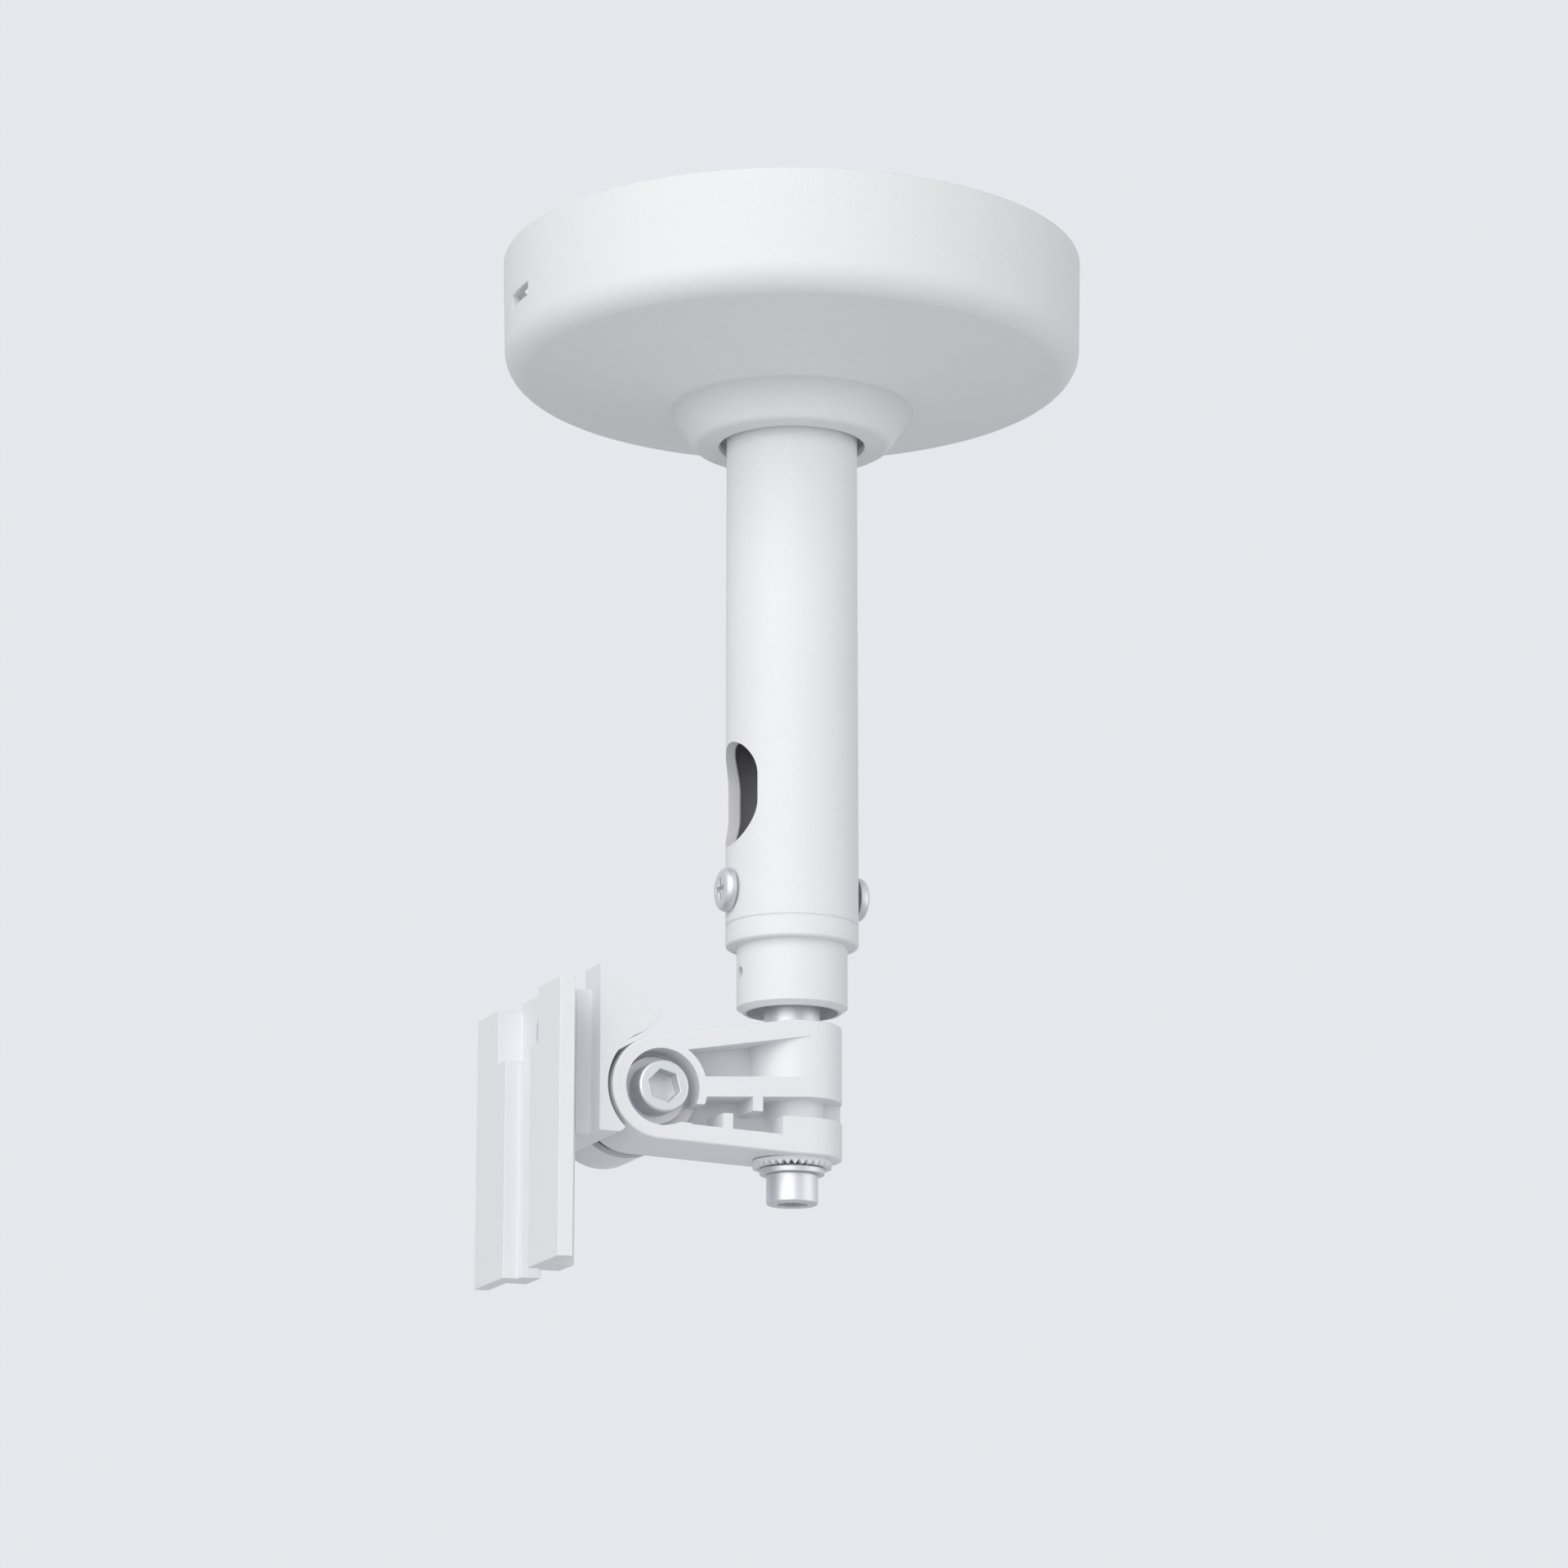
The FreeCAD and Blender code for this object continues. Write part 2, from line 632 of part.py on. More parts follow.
# Socket-head bolts. The head's seat is at the local origin and the head points down.
def make_bolt(label, length):
    body = keep(new_body(label))
    turn(body, [("0", length), ("bolt_radius", length), ("bolt_radius", "0"), ("bolt_head_radius", "0"),
                ("bolt_head_radius", "-bolt_head_height", "bolt_head_round"), ("0", "-bolt_head_height")])
    socket = new_sketch(body, label + "_key", "XY_Plane", "-bolt_head_height")
    add_hexagon(socket, "bolt_socket_across")
    pocket(body, socket, "bolt_socket_depth", backwards=True)
    return body


# Arm: a flanged beam with a web in its middle plane, an upright hub and a boss across it
def make_swivel_arm():
    body = keep(new_body("swivel_arm"))
    spare = "boss_radius"
    plan = new_sketch(body, "arm_plan", "XY_Plane", "-arm_end_level - " + spare)
    end_round = "arm_thickness * 0.498"
    add_outline(plan, [("-tilt_reach - boss_radius - " + spare, half_arm),
                       ("-tilt_reach - boss_radius - " + spare, "-" + half_arm),
                       (half_arm, "-" + half_arm, end_round), (half_arm, half_arm, end_round)])
    pad(body, plan, "arm_end_level - arm_top_level + 2 * " + spare)
    trim_arm(body, spare)
    round_arm_edges(body)
    cut_arm_pockets(body)
    turn(body, [("0", "-arm_top_level - upper_flange / 2"),
                ("hub_fill_radius", "-arm_top_level - upper_flange / 2"),
                ("hub_fill_radius", "-mid_rib_hub_level"), ("hub_barrel_radius", "-mid_rib_hub_level"),
                ("hub_barrel_radius", "-arm_end_level + hub_foot_height / 2"),
                ("0", "-arm_end_level + hub_foot_height / 2")], "hub")
    add_arm_tabs(body)
    ring = new_sketch(body, "boss_ring", "XZ_Plane", half_arm)
    add_circle(ring, "-tilt_reach", "-tilt_level", "boss_ring_radius")
    pad(body, ring, "arm_thickness", backwards=True)
    cut_arm_bores(body)
    add_tooth_ring(body)


# Everything outside the arm's side outline is cut away, which leaves the boss round.
def trim_arm(body, spare):
    run = "((%s + %s) / (tan(arm_top_angle) + tan(%s)))" % (
        arm_top_tangent, arm_bottom_tangent, arm_bottom_angle)
    apex = ("-tilt_reach - " + run, "-tilt_level + %s - %s * tan(arm_top_angle)" % (arm_top_tangent, run))
    right = "arm_thickness / 2 + " + spare
    outline = new_sketch(body, "arm_outline", "XZ_Plane", "arm_thickness")
    add_outline(outline, [(right, "-arm_top_level"), ("-hub_flat", "-arm_top_level"), apex + ("boss_radius",),
                          ("-hub_flat", "-arm_end_level"), (right, "-arm_end_level")])
    add_box(outline, "-tilt_reach - 3 * boss_radius", right + " + " + spare, "-arm_end_level - 2 * " + spare,
            "-arm_top_level + 2 * " + spare)
    pocket(body, outline, "2 * arm_thickness")


def round_arm_edges(body):
    blank = body.Tip
    names = []
    for number, edge in enumerate(blank.Shape.Edges, start=1):
        if edge.BoundBox.XLength > 1e-3:
            names.append("Edge%d" % number)
    fillet = body.newObject("PartDesign::Fillet", "arm_edges")
    fillet.Base = (blank, names)
    fillet.setExpression("Radius", bound("arm_edge_round"))
    body.Tip = fillet
    doc.recompute()


def rib_level(reach, side):
    return "(mid_rib_hub_level + %s * (%s) %s mid_rib / 2)" % (rib_slope, reach, side)


# Upper and lower pockets on both sides of the web. The lower one runs on under the hub as a slit.
def cut_arm_pockets(body):
    inner = "(tilt_reach - counterbore_radius * 0.5)"
    top_start = "(tilt_level - %s + upper_flange" % arm_top_tangent
    top_level = top_start + " - (tilt_reach - (%s)) * tan(arm_top_angle))"
    low_slope = "tan(%s)" % arm_bottom_angle
    low_start = "(tilt_level + %s - lower_flange" % arm_bottom_tangent
    low_level = low_start + " + (tilt_reach - (%s)) * " + low_slope + ")"
    outside = "arm_thickness / 2 + boss_radius"
    upper = [("-" + inner, "-" + rib_level(inner, "-")), ("0", "-" + rib_level("0", "-")),
             ("0", "-" + top_level % "0"), ("-" + inner, "-" + top_level % inner)]
    lower = [("-" + inner, "-" + low_level % inner),
             ("-hub_foot_length", "-" + low_level % "hub_foot_length"),
             ("-hub_foot_length", "-" + foot_top_level), (outside, "-" + foot_top_level),
             (outside, "-" + arm_rib_end_level), ("0", "-" + arm_rib_end_level),
             ("-" + inner, "-" + rib_level(inner, "+"))]
    for name, corners in (("upper", upper), ("lower", lower)):
        for side, sign, backwards in (("front", "", False), ("back", "-", True)):
            sketch = new_sketch(body, "arm_%s_%s" % (name, side), "XZ_Plane", sign + half_arm)
            add_outline(sketch, corners)
            pocket(body, sketch, pocket_depth, backwards=backwards)


# Short tabs in the lower pocket, one under the rib and one on the lower flange
def add_arm_tabs(body):
    upper = ("upper_tab", "upper_tab_place", "-%s - upper_tab_height" % rib_level("upper_tab_place", "+"),
             "-" + rib_level("upper_tab_place", "-"))
    floor = "(tilt_level + %s - lower_flange / 2)" % arm_bottom_tangent
    lower = ("lower_tab", "lower_tab_place", "-" + floor,
             "-%s + lower_flange / 2 + lower_tab_height" % floor)
    for name, middle, low, high in (upper, lower):
        tab = new_sketch(body, name, "XZ_Plane", half_arm)
        add_box(tab, "-%s - tab_thickness / 2" % middle, "-%s + tab_thickness / 2" % middle, low, high)
        pad(body, tab, "arm_thickness", backwards=True)


# Bores for the tilt bolt, the swivel pin and the swivel bolt
def cut_arm_bores(body):
    counterbore = new_sketch(body, "tilt_counterbore", "XZ_Plane", half_arm)
    add_circle(counterbore, "-tilt_reach", "-tilt_level", "counterbore_radius")
    pocket(body, counterbore, "counterbore_depth")
    gap = new_sketch(body, "boss_gap", "XZ_Plane", half_arm)
    add_box(gap, "-tilt_reach", "-tilt_reach + boss_ring_radius",
            "-tilt_level - boss_radius + lower_flange", "-boss_gap_level")
    pocket(body, gap, "counterbore_depth")
    tilt = new_sketch(body, "tilt_bore", "XZ_Plane", half_arm)
    add_circle(tilt, "-tilt_reach", "-tilt_level", "bolt_radius + hole_clearance")
    pocket(body, tilt, "arm_thickness")
    pin = new_sketch(body, "pin_bore", "XY_Plane", "-arm_top_level")
    add_circle(pin, "0", "0", "pin_radius + running_clearance")
    pocket(body, pin, "%s - arm_top_level" % thrust_seat_level)
    bolt = new_sketch(body, "swivel_bore", "XY_Plane", "-arm_top_level")
    add_circle(bolt, "0", "0", "bolt_radius + hole_clearance")
    pocket(body, bolt, "arm_end_level - arm_top_level")


# Ring of radial teeth under the hub
def add_tooth_ring(body):
    turn(body, [("tooth_ring_bore", "-arm_end_level"), ("tooth_ring_radius", "-arm_end_level"),
                ("tooth_ring_radius", "-" + tooth_tip_level), ("tooth_ring_bore", "-" + tooth_tip_level)],
         "tooth_ring")
    notch = new_sketch(body, "tooth_notch", "YZ_Plane", "tooth_ring_bore - tooth_height")
    half_pitch = "tooth_ring_radius * tan(180 / tooth_count) * 0.96"
    add_outline(notch, [("-" + half_pitch, "-" + tooth_tip_level), (half_pitch, "-" + tooth_tip_level),
                        ("0", "-%s + tooth_height" % tooth_tip_level)])
    cut = pocket(body, notch, "tooth_ring_radius", backwards=True)
    axis = new_sketch(body, "tooth_axis", "XY_Plane")
    add_circle(axis, "0", "0", "tooth_ring_radius")
    repeat_round(body, cut, axis, "N_Axis", "tooth_count")


# Tilt bracket: a block seated round the boss, two horned cheeks, a neck and a knuckle
def make_tilt_bracket():
    body = keep(new_body("tilt_bracket"))
    front = half_arm
    width = "(%s + %s)" % (half_arm, knuckle_end)
    block = new_sketch(body, "bracket_block", "XZ_Plane", front)
    add_outline(block, [("-bracket_back", "-bracket_top_level"), ("-bracket_back", "-bracket_end_level"),
                        ("-bracket_foot", "-bracket_end_level", "bracket_foot_round"),
                        ("-tilt_reach", "-tilt_level"), ("-horn_root_reach", "-horn_root_level")])
    pad(body, block, width, backwards=True)
    for name, offset in (("front_cheek", front), ("rear_cheek", "cheek_thickness - " + knuckle_end)):
        cheek = new_sketch(body, name, "XZ_Plane", offset)
        add_outline(cheek, [("-bracket_back", "-horn_level"),
                            ("-bracket_back", "-bracket_end_level + bracket_foot_round"),
                            ("-tilt_reach", "-tilt_level"), ("-horn_root_reach", "-horn_root_level"),
                            ("-horn_tip_reach", "-horn_tip_level", "horn_tip_round")])
        pad(body, cheek, "cheek_thickness", backwards=True)
    seat = new_sketch(body, "boss_seat", "XZ_Plane", front)
    add_circle(seat, "-tilt_reach", "-tilt_level", "seat_radius")
    pocket(body, seat, "%s + %s" % (half_arm, knuckle_face))
    neck = new_sketch(body, "bracket_neck", "XZ_Plane", "foot_reach_half - plate_middle")
    add_box(neck, "-web_back", "-neck_root", "-bracket_end_level", "-plate_top_level")
    pad(body, neck, "2 * foot_reach_half", backwards=True)
    knuckle = new_sketch(body, "bracket_knuckle", "XZ_Plane", "-" + knuckle_face)
    add_circle(knuckle, "-tilt_reach", "-tilt_level", "knuckle_radius")
    pad(body, knuckle, "knuckle_length", backwards=True)
    bore = new_sketch(body, "knuckle_bore", "XZ_Plane", "-" + knuckle_face)
    add_circle(bore, "-tilt_reach", "-tilt_level", "bolt_radius + hole_clearance")
    pocket(body, bore, "knuckle_length")
    cut_nut_pocket(body)
    for level in ("plate_screw_upper_level", "plate_screw_lower_level"):
        hole = new_sketch(body, level + "_hole", "YZ_Plane", "-web_back")
        add_circle(hole, "plate_middle", "-" + level, "plate_screw_radius + thread_clearance")
        pocket(body, hole, "plate_screw_length - channel_web + running_clearance", backwards=True)


def cut_nut_pocket(body):
    nest = new_sketch(body, "nut_nest", "XZ_Plane", "-" + knuckle_end)
    corners = []
    for step in range(6):
        reach = "(nut_across / 2 + slip_clearance) / cos(30)"
        corners.append(("-tilt_reach + %s * cos(%d)" % (reach, 60 * step + 15),
                        "-tilt_level + %s * sin(%d)" % (reach, 60 * step + 15)))
    add_outline(nest, corners)
    pocket(body, nest, "nut_thickness", backwards=True)


# Hexagon nut in the knuckle's nest
def make_tilt_nut():
    body = keep(new_body("tilt_nut"))
    blank = new_sketch(body, "nut_blank", "XY_Plane")
    add_hexagon(blank, "nut_across")
    pad(body, blank, "nut_thickness")
    bore = new_sketch(body, "nut_bore", "XY_Plane")
    add_circle(bore, "0", "0", "bolt_radius + thread_clearance")
    pocket(body, bore, "nut_thickness", backwards=True)
    place(body, x="-tilt_reach", y=knuckle_end, z="-tilt_level", axis=Vector(1, 0, 0), angle=90)


# Speaker plate: two rails on a channelled spine, with a wide notch at the top and two feet at the bottom
def make_speaker_plate():
    body = keep(new_body("speaker_plate"))
    front = "-plate_reach"
    rail_back = "-plate_reach + rail_thickness"
    floor = "-web_face"
    back = "-web_back"
    half = "(plate_width / 2)"
    outside = [(front, half), (rail_back, half), (rail_back, "foot_reach_half"), (back, "foot_reach_half")]
    channel = [(front, channel_half), (rail_back, channel_half), (rail_back, "foot_gap_half"),
               (floor, "foot_gap_half")]
    section = new_sketch(body, "plate_section", "XY_Plane", "-plate_end_level")
    add_outline(section, [(x, "plate_middle + " + y) for x, y in outside]
                + [(x, "plate_middle - " + y) for x, y in reversed(outside)]
                + [(x, "plate_middle - " + y) for x, y in channel]
                + [(x, "plate_middle + " + y) for x, y in reversed(channel)])
    pad(body, section, "plate_end_level - plate_top_level")
    tongue = new_sketch(body, "plate_tongue", "XY_Plane", "-plate_top_level")
    add_box(tongue, floor, back, "plate_middle - notch_half", "plate_middle + notch_half")
    pad(body, tongue, "tongue_height")
    notch = new_sketch(body, "plate_notch", "XY_Plane", "-plate_top_level")
    add_box(notch, front, floor, "plate_middle - notch_half", "plate_middle + notch_half")
    pocket(body, notch, "notch_height")
    gap = new_sketch(body, "foot_gap", "XY_Plane", "-web_end_level")
    add_box(gap, floor, back, "plate_middle - foot_gap_half", "plate_middle + foot_gap_half")
    pocket(body, gap, "plate_end_level - web_end_level")
    holes = new_sketch(body, "speaker_holes", "YZ_Plane", floor)
    for level in ("speaker_hole_upper_level", "speaker_hole_lower_level"):
        add_circle(holes, "plate_middle", "-" + level, "speaker_hole_radius")
    pocket(body, holes, "channel_web", backwards=True)
    for level in ("plate_screw_upper_level", "plate_screw_lower_level"):
        cut_screw_seat(body, level)


def cut_screw_seat(body, level):
    seat = body.newObject("PartDesign::SubtractiveCone", level + "_seat")
    seat.setExpression("Radius1", bound("plate_screw_head_radius + slip_clearance"))
    seat.setExpression("Radius2", bound("plate_screw_radius + slip_clearance"))
    seat.setExpression("Height", bound("plate_screw_head_radius - plate_screw_radius"))
    place(seat, "-web_face", "plate_middle", "-" + level, Vector(0, 1, 0), 90)
    hole = new_sketch(body, level + "_shank", "YZ_Plane", "-web_face")
    add_circle(hole, "plate_middle", "-" + level, "plate_screw_radius + slip_clearance")
    pocket(body, hole, "channel_web", backwards=True)


# Countersunk screws through the plate into the neck
def make_plate_screws():
    members = []
    for level in ("plate_screw_upper_level", "plate_screw_lower_level"):
        body = new_body(level.replace("_level", ""))
        turn(body, [("0", "0"), ("plate_screw_head_radius", "0"),
                    ("plate_screw_radius", "plate_screw_head_radius - plate_screw_radius"),
                    ("plate_screw_radius", "plate_screw_length"), ("0", "plate_screw_length")])
        socket = new_sketch(body, level + "_key", "XY_Plane")
        add_hexagon(socket, "plate_screw_radius * 1.2")
        pocket(body, socket, "plate_screw_radius", backwards=True)
        members.append(place(body, "-web_face", "plate_middle", "-" + level, Vector(0, 1, 0), 90))
    group("plate_screws", members)


make_ceiling_flange()
make_canopy_clips()
make_clip_rivets()
make_canopy()
make_pendant_tube()
make_tube_lock_screws()
make_tube_plug()
make_plug_screws()
make_swivel_pin()
make_pin_lock_screw()
make_swivel_arm()
bolt_hole = "bolt_radius + hole_clearance"
washer("thrust_washer", bolt_hole, "pin_radius - slip_clearance", "-" + thrust_seat_level, "-pin_end_level")
washer("swivel_washer", bolt_hole, "swivel_washer_radius", "-" + head_seat_level, "-" + tooth_tip_level)
place(make_bolt("swivel_bolt", "swivel_bolt_length"), z="-" + head_seat_level)
place(make_bolt("tilt_bolt", "tilt_bolt_length"), x="-tilt_reach", y="-" + tilt_head_seat, z="-tilt_level",
      axis=Vector(1, 0, 0), angle=-90)
tilt_washer = washer("tilt_washer", bolt_hole, "tilt_washer_radius", "0", "tilt_washer_thickness")
place(tilt_washer, x="-tilt_reach", y="-" + tilt_head_seat, z="-tilt_level", axis=Vector(1, 0, 0), angle=-90)
friction_disc = washer("friction_disc", bolt_hole, "friction_disc_radius", "0",
                       "friction_gap - face_clearance")
place(friction_disc, x="-tilt_reach", y=knuckle_face, z="-tilt_level", axis=Vector(1, 0, 0), angle=90)
make_tilt_bracket()
make_tilt_nut()
make_speaker_plate()
make_plate_screws()
doc.recompute()

# Every object and shape is checked before anything is written.
for thing in doc.Objects:
    if "Invalid" in thing.State or "Error" in thing.State:
        raise RuntimeError("%s failed: %s" % (thing.Name, thing.State))
for node in nodes:
    if node.Shape.isNull() or not node.Shape.isValid():
        raise RuntimeError("%s has no valid shape" % node.Label)

os.makedirs("parts", exist_ok=True)
for node in nodes:
    node.Shape.exportStep("parts/%s.step" % node.Label)
    print("%-20s %2d solids %10.1f mm3" % (node.Label, len(node.Shape.Solids), node.Shape.Volume))
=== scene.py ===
import json
import math
import bmesh
import bpy
from mathutils import Matrix, Vector


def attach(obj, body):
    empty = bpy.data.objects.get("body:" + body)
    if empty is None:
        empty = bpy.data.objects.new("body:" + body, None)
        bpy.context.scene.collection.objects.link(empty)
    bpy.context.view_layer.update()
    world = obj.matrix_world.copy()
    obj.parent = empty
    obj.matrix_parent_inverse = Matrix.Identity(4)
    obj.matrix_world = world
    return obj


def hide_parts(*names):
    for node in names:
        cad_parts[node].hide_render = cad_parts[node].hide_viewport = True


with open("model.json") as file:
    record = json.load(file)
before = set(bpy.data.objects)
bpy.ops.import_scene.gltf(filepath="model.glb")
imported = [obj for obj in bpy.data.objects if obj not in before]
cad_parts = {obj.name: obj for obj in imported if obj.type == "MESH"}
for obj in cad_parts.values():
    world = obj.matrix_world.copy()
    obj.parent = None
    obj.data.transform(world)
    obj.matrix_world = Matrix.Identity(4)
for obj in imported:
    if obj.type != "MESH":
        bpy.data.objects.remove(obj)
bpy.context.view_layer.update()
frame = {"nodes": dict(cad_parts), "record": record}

record = frame["record"]
nodeSlots = {part["node"]: part["material_slot"] for part in record["subparts"]}
bodyOfNode = {node: body for body, members in record["behaviour"]["bodies"].items() for node in members}


def opaque(colour):
    return colour + (1.0,)


def addObject(name, data):
    holder = bpy.data.objects.new(name, data)
    bpy.context.scene.collection.objects.link(holder)
    return holder


def mathNode(nodes, operation):
    node = nodes.new("ShaderNodeMath")
    node.operation = operation
    return node


# a mix node has sockets of the same name for numbers and for colours, so they are told apart by place
numberMix = {"first": 2, "second": 3, "result": 0}
colourMix = {"first": 6, "second": 7, "result": 2}


def mixNode(nodes, kind):
    node = nodes.new("ShaderNodeMix")
    node.data_type = kind
    return node


# grain shared by the coats: a fine mottle for colour and roughness, and its height for the bump
grainSettings = {"detail": 3.0, "roughness": 0.6, "driftScale": 14.0, "driftDetail": 2.0, "driftShare": 0.35}
grainInputs = {
    "Pale": "NodeSocketColor", "Deep": "NodeSocketColor", "Grain Scale": "NodeSocketFloat",
    "Rough Low": "NodeSocketFloat", "Rough High": "NodeSocketFloat",
    "Painted Shade Radius": "NodeSocketFloat", "Painted Shade End": "NodeSocketFloat", "Painted Shade": "NodeSocketColor",
}
grainOutputs = {"Color": "NodeSocketColor", "Roughness": "NodeSocketFloat", "Height": "NodeSocketFloat"}


def makeGrainGroup():
    group = bpy.data.node_groups.new("coatGrain", "ShaderNodeTree")
    for name, kind in grainInputs.items():
        group.interface.new_socket(name, in_out="INPUT", socket_type=kind)
    for name, kind in grainOutputs.items():
        group.interface.new_socket(name, in_out="OUTPUT", socket_type=kind)
    nodes = group.nodes
    link = group.links.new
    inputs = nodes.new("NodeGroupInput")
    outputs = nodes.new("NodeGroupOutput")
    place = nodes.new("ShaderNodeTexCoord")
    grain = nodes.new("ShaderNodeTexNoise")
    grain.inputs["Detail"].default_value = grainSettings["detail"]
    grain.inputs["Roughness"].default_value = grainSettings["roughness"]
    link(place.outputs["Object"], grain.inputs["Vector"])
    link(inputs.outputs["Grain Scale"], grain.inputs["Scale"])

    # slow change of tone across a piece
    drift = nodes.new("ShaderNodeTexNoise")
    drift.inputs["Scale"].default_value = grainSettings["driftScale"]
    drift.inputs["Detail"].default_value = grainSettings["driftDetail"]
    blend = mixNode(nodes, "FLOAT")
    blend.inputs["Factor"].default_value = grainSettings["driftShare"]
    tone = mixNode(nodes, "RGBA")
    link(place.outputs["Object"], drift.inputs["Vector"])
    link(grain.outputs["Fac"], blend.inputs[numberMix["first"]])
    link(drift.outputs["Fac"], blend.inputs[numberMix["second"]])
    link(blend.outputs[numberMix["result"]], tone.inputs["Factor"])
    link(inputs.outputs["Pale"], tone.inputs[colourMix["first"]])
    link(inputs.outputs["Deep"], tone.inputs[colourMix["second"]])

    # painted shade inside the bore of an upright piece: inside a radius and above a level, the coat's tone
    # gives way to a darker grey where light would not reach
    axes = nodes.new("ShaderNodeSeparateXYZ")
    flat = nodes.new("ShaderNodeCombineXYZ")
    reach = nodes.new("ShaderNodeVectorMath")
    reach.operation = "LENGTH"
    inside = mathNode(nodes, "LESS_THAN")
    above = mathNode(nodes, "GREATER_THAN")
    boreShadeMask = mathNode(nodes, "MULTIPLY")
    toneAndBoreShade = mixNode(nodes, "RGBA")
    link(place.outputs["Object"], axes.inputs["Vector"])
    link(axes.outputs["X"], flat.inputs["X"])
    link(axes.outputs["Y"], flat.inputs["Y"])
    link(flat.outputs["Vector"], reach.inputs[0])
    link(reach.outputs["Value"], inside.inputs[0])
    link(inputs.outputs["Painted Shade Radius"], inside.inputs[1])
    link(axes.outputs["Z"], above.inputs[0])
    link(inputs.outputs["Painted Shade End"], above.inputs[1])
    link(inside.outputs["Value"], boreShadeMask.inputs[0])
    link(above.outputs["Value"], boreShadeMask.inputs[1])
    link(boreShadeMask.outputs["Value"], toneAndBoreShade.inputs["Factor"])
    link(tone.outputs[colourMix["result"]], toneAndBoreShade.inputs[colourMix["first"]])
    link(inputs.outputs["Painted Shade"], toneAndBoreShade.inputs[colourMix["second"]])

    rough = nodes.new("ShaderNodeMapRange")
    link(grain.outputs["Fac"], rough.inputs["Value"])
    link(inputs.outputs["Rough Low"], rough.inputs["To Min"])
    link(inputs.outputs["Rough High"], rough.inputs["To Max"])
    link(toneAndBoreShade.outputs[colourMix["result"]], outputs.inputs["Color"])
    link(rough.outputs["Result"], outputs.inputs["Roughness"])
    link(grain.outputs["Fac"], outputs.inputs["Height"])
    return group


# one entry for each finish: colours, grain, gloss and bump, and the painted shade inside the bore of the tube
noBoreShade = {"radius": 0.0, "end": 0.0, "colour": (0.0, 0.0, 0.0)}
finishes = {
    "grained_white": {"pale": (0.86, 0.86, 0.875), "deep": (0.76, 0.76, 0.775), "grain": 1900.0,
                      "rough": (0.42, 0.62), "metal": 0.0, "bump": 0.6, "depth": 0.00012},
    "coated_tube": {"pale": (0.87, 0.87, 0.885), "deep": (0.77, 0.77, 0.785), "grain": 2100.0,
                    "rough": (0.40, 0.60), "metal": 0.0, "bump": 0.6, "depth": 0.00012,
                    # painted shade: the tube's coated bore is given a darker grey that stands in for the
                    # shade inside it
                    "bore": {"radius": 0.0146, "end": -0.175, "colour": (0.42, 0.415, 0.425)}},
    "cast_white": {"pale": (0.85, 0.85, 0.875), "deep": (0.82, 0.82, 0.845), "grain": 900.0,
                   "rough": (0.34, 0.48), "metal": 0.0, "bump": 0.10, "depth": 0.00008},
    "plated_steel": {"pale": (0.70, 0.71, 0.735), "deep": (0.64, 0.65, 0.675), "grain": 260.0,
                     "rough": (0.44, 0.52), "metal": 0.85, "bump": 0.02, "depth": 0.00002},
    "zinc_steel": {"pale": (0.68, 0.69, 0.72), "deep": (0.56, 0.57, 0.60), "grain": 700.0,
                   "rough": (0.48, 0.62), "metal": 1.0, "bump": 0.12, "depth": 0.00006},
    "dark_steel": {"pale": (0.10, 0.10, 0.11), "deep": (0.06, 0.06, 0.065), "grain": 1200.0,
                   "rough": (0.35, 0.5), "metal": 1.0, "bump": 0.1, "depth": 0.00005},
    "friction_pad": {"pale": (0.05, 0.05, 0.052), "deep": (0.03, 0.03, 0.031), "grain": 1600.0,
                     "rough": (0.7, 0.9), "metal": 0.0, "bump": 0.3, "depth": 0.0001},
}


def makeFinish(name, settings, grainGroup):
    material = bpy.data.materials.new(name)
    material.use_nodes = True
    nodes = material.node_tree.nodes
    link = material.node_tree.links.new
    shader = nodes["Principled BSDF"]
    grain = nodes.new("ShaderNodeGroup")
    grain.node_tree = grainGroup
    bore = settings.get("bore", noBoreShade)
    grain.inputs["Pale"].default_value = opaque(settings["pale"])
    grain.inputs["Deep"].default_value = opaque(settings["deep"])
    grain.inputs["Grain Scale"].default_value = settings["grain"]
    grain.inputs["Rough Low"].default_value = settings["rough"][0]
    grain.inputs["Rough High"].default_value = settings["rough"][1]
    grain.inputs["Painted Shade Radius"].default_value = bore["radius"]
    grain.inputs["Painted Shade End"].default_value = bore["end"]
    grain.inputs["Painted Shade"].default_value = opaque(bore["colour"])
    bump = nodes.new("ShaderNodeBump")
    bump.inputs["Strength"].default_value = settings["bump"]
    bump.inputs["Distance"].default_value = settings["depth"]
    shader.inputs["Metallic"].default_value = settings["metal"]
    link(grain.outputs["Color"], shader.inputs["Base Color"])
    link(grain.outputs["Roughness"], shader.inputs["Roughness"])
    link(grain.outputs["Height"], bump.inputs["Height"])
    link(bump.outputs["Normal"], shader.inputs["Normal"])
    material.diffuse_color = opaque(settings["pale"])
    return material


grainGroup = makeGrainGroup()
materials = {name: makeFinish(name, settings, grainGroup) for name, settings in finishes.items()}
for nodeName, node in frame["nodes"].items():
    node.data.materials.clear()
    node.data.materials.append(materials[nodeSlots[nodeName]])
print("finishes:", len(materials))

# the canopy's underside falls gently from its rim to a crease, the first ring, above the collar's cone
canopyFall = {"rimRadius": 0.0690, "rings": ((0.0315, -0.0395), (0.0280, -0.0446), (0.0259, -0.0477)),
              "footRadius": 0.0256, "segments": 192, "facing": -0.4}


